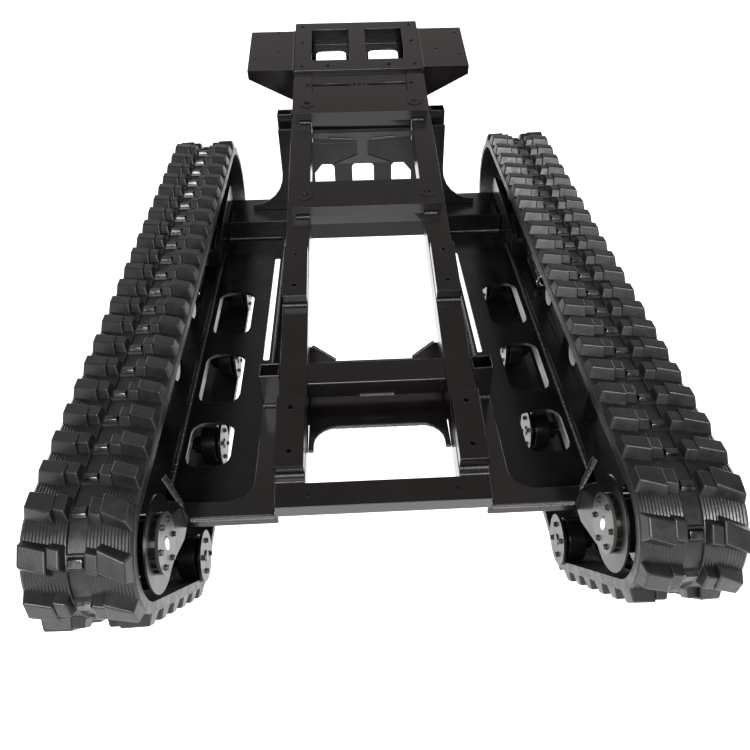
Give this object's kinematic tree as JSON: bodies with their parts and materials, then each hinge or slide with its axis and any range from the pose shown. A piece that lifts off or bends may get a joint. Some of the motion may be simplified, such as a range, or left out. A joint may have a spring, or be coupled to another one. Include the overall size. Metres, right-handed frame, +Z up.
{
  "type": "tracked robot chassis",
  "caption": "Rubber-track crawler chassis: sloping ladder deck with raised mounting pads and a windowed head box, on a level lower frame between two track units.",
  "frame": {"origin": "on the ground under the middle of the chassis", "axes": "+X to the right, +Y from the drive end to the head end, +Z up"},
  "size_m": [1.172, 2.1393, 0.7459],
  "materials": {
    "paint": "gloss",
    "rubber": "satin",
    "steel": "satin"
  },
  "bodies": {
    "chassis": {"bridge_plate": "paint", "centre_cross_member": "paint", "deck_rail_left": "paint", "deck_rail_right": "paint", "drive_bracket_left": "paint", "drive_bracket_right": "paint", "drive_end_cross_member": "paint", "drive_end_pad_left": "paint", "drive_end_pad_right": "paint", "drive_end_stake_post_left": "paint", "drive_end_stake_post_right": "paint", "drive_motor_left": "paint", "drive_motor_right": "paint", "far_beam": "paint", "floor_plate_left": "paint", "floor_plate_right": "paint", "head_box": "paint", "head_end_cross_member": "paint", "head_end_pad_left": "paint", "head_end_pad_right": "paint", "head_end_stake_post_left": "paint", "head_end_stake_post_right": "paint", "head_upright": "paint", "head_wing_left": "paint", "head_wing_right": "paint", "middle_cross_member": "paint", "rubber_track_left": "rubber", "rubber_track_right": "rubber", "side_arm_left": "paint", "side_arm_right": "paint", "side_web_left": "paint", "side_web_right": "paint", "slotted_plate": "paint", "top_flange_left": "paint", "top_flange_right": "paint", "track_frame_left": "paint", "track_frame_right": "paint", "track_tensioner_left": "steel", "track_tensioner_right": "steel"},
    "bottom_roller_left_1": {"bottom_roller_left_1": "paint"},
    "bottom_roller_left_2": {"bottom_roller_left_2": "paint"},
    "bottom_roller_left_3": {"bottom_roller_left_3": "paint"},
    "bottom_roller_left_4": {"bottom_roller_left_4": "paint"},
    "bottom_roller_right_1": {"bottom_roller_right_1": "paint"},
    "bottom_roller_right_2": {"bottom_roller_right_2": "paint"},
    "bottom_roller_right_3": {"bottom_roller_right_3": "paint"},
    "bottom_roller_right_4": {"bottom_roller_right_4": "paint"},
    "carrier_roller_left_1": {"carrier_roller_left_1": "paint"},
    "carrier_roller_left_2": {"carrier_roller_left_2": "paint"},
    "carrier_roller_left_3": {"carrier_roller_left_3": "paint"},
    "carrier_roller_right_1": {"carrier_roller_right_1": "paint"},
    "carrier_roller_right_2": {"carrier_roller_right_2": "paint"},
    "carrier_roller_right_3": {"carrier_roller_right_3": "paint"},
    "drive_sprocket_left": {"drive_sprocket_left": "paint"},
    "drive_sprocket_right": {"drive_sprocket_right": "paint"},
    "idler_left": {"idler_left": "paint"},
    "idler_right": {"idler_right": "paint"},
    "idler_yoke_left": {"idler_yoke_left": "paint"},
    "idler_yoke_right": {"idler_yoke_right": "paint"}
  },
  "joints": [
    {"name": "drive_left", "type": "hinge", "parent": "chassis", "child": "drive_sprocket_left", "pos_m": [-0.496, -0.93, 0.405], "axis": [1, 0, 0], "continuous": true},
    {"name": "tension_left", "type": "slide", "parent": "chassis", "child": "idler_yoke_left", "axis": [0, -1, 0], "range_m": [0, 0.03]},
    {"name": "idler_spin_left", "type": "hinge", "parent": "idler_yoke_left", "child": "idler_left", "pos_m": [-0.496, 0.493, 0.38], "axis": [1, 0, 0], "continuous": true},
    {"name": "bottom_spin_left_1", "type": "hinge", "parent": "chassis", "child": "bottom_roller_left_1", "pos_m": [-0.496, -0.727, 0.092], "axis": [1, 0, 0], "continuous": true},
    {"name": "bottom_spin_left_2", "type": "hinge", "parent": "chassis", "child": "bottom_roller_left_2", "pos_m": [-0.496, -0.369, 0.092], "axis": [1, 0, 0], "continuous": true},
    {"name": "bottom_spin_left_3", "type": "hinge", "parent": "chassis", "child": "bottom_roller_left_3", "pos_m": [-0.496, -0.011, 0.092], "axis": [1, 0, 0], "continuous": true},
    {"name": "bottom_spin_left_4", "type": "hinge", "parent": "chassis", "child": "bottom_roller_left_4", "pos_m": [-0.496, 0.347, 0.092], "axis": [1, 0, 0], "continuous": true},
    {"name": "carrier_spin_left_1", "type": "hinge", "parent": "chassis", "child": "carrier_roller_left_1", "pos_m": [-0.496, -0.522, 0.47263], "axis": [1, 0, 0], "continuous": true},
    {"name": "carrier_spin_left_2", "type": "hinge", "parent": "chassis", "child": "carrier_roller_left_2", "pos_m": [-0.496, -0.292, 0.47263], "axis": [1, 0, 0], "continuous": true},
    {"name": "carrier_spin_left_3", "type": "hinge", "parent": "chassis", "child": "carrier_roller_left_3", "pos_m": [-0.496, -0.052, 0.47263], "axis": [1, 0, 0], "continuous": true},
    {"name": "drive_right", "type": "hinge", "parent": "chassis", "child": "drive_sprocket_right", "pos_m": [0.496, -0.93, 0.405], "axis": [1, 0, 0], "continuous": true},
    {"name": "tension_right", "type": "slide", "parent": "chassis", "child": "idler_yoke_right", "axis": [0, -1, 0], "range_m": [0, 0.03]},
    {"name": "idler_spin_right", "type": "hinge", "parent": "idler_yoke_right", "child": "idler_right", "pos_m": [0.496, 0.493, 0.38], "axis": [1, 0, 0], "continuous": true},
    {"name": "bottom_spin_right_1", "type": "hinge", "parent": "chassis", "child": "bottom_roller_right_1", "pos_m": [0.496, -0.727, 0.092], "axis": [1, 0, 0], "continuous": true},
    {"name": "bottom_spin_right_2", "type": "hinge", "parent": "chassis", "child": "bottom_roller_right_2", "pos_m": [0.496, -0.369, 0.092], "axis": [1, 0, 0], "continuous": true},
    {"name": "bottom_spin_right_3", "type": "hinge", "parent": "chassis", "child": "bottom_roller_right_3", "pos_m": [0.496, -0.011, 0.092], "axis": [1, 0, 0], "continuous": true},
    {"name": "bottom_spin_right_4", "type": "hinge", "parent": "chassis", "child": "bottom_roller_right_4", "pos_m": [0.496, 0.347, 0.092], "axis": [1, 0, 0], "continuous": true},
    {"name": "carrier_spin_right_1", "type": "hinge", "parent": "chassis", "child": "carrier_roller_right_1", "pos_m": [0.496, -0.522, 0.47263], "axis": [1, 0, 0], "continuous": true},
    {"name": "carrier_spin_right_2", "type": "hinge", "parent": "chassis", "child": "carrier_roller_right_2", "pos_m": [0.496, -0.292, 0.47263], "axis": [1, 0, 0], "continuous": true},
    {"name": "carrier_spin_right_3", "type": "hinge", "parent": "chassis", "child": "carrier_roller_right_3", "pos_m": [0.496, -0.052, 0.47263], "axis": [1, 0, 0], "continuous": true}
  ],
  "couplings": [
    {"joint": "idler_spin_left", "follows": "drive_left", "ratio": 0.80572},
    {"joint": "bottom_spin_left_1", "follows": "drive_left", "ratio": 1.9627},
    {"joint": "bottom_spin_left_2", "follows": "drive_left", "ratio": 1.9627},
    {"joint": "bottom_spin_left_3", "follows": "drive_left", "ratio": 1.9627},
    {"joint": "bottom_spin_left_4", "follows": "drive_left", "ratio": 1.9627},
    {"joint": "carrier_spin_left_1", "follows": "drive_left", "ratio": 3.2711},
    {"joint": "carrier_spin_left_2", "follows": "drive_left", "ratio": 3.2711},
    {"joint": "carrier_spin_left_3", "follows": "drive_left", "ratio": 3.2711},
    {"joint": "idler_spin_right", "follows": "drive_right", "ratio": 0.80572},
    {"joint": "bottom_spin_right_1", "follows": "drive_right", "ratio": 1.9627},
    {"joint": "bottom_spin_right_2", "follows": "drive_right", "ratio": 1.9627},
    {"joint": "bottom_spin_right_3", "follows": "drive_right", "ratio": 1.9627},
    {"joint": "bottom_spin_right_4", "follows": "drive_right", "ratio": 1.9627},
    {"joint": "carrier_spin_right_1", "follows": "drive_right", "ratio": 3.2711},
    {"joint": "carrier_spin_right_2", "follows": "drive_right", "ratio": 3.2711},
    {"joint": "carrier_spin_right_3", "follows": "drive_right", "ratio": 3.2711}
  ]
}
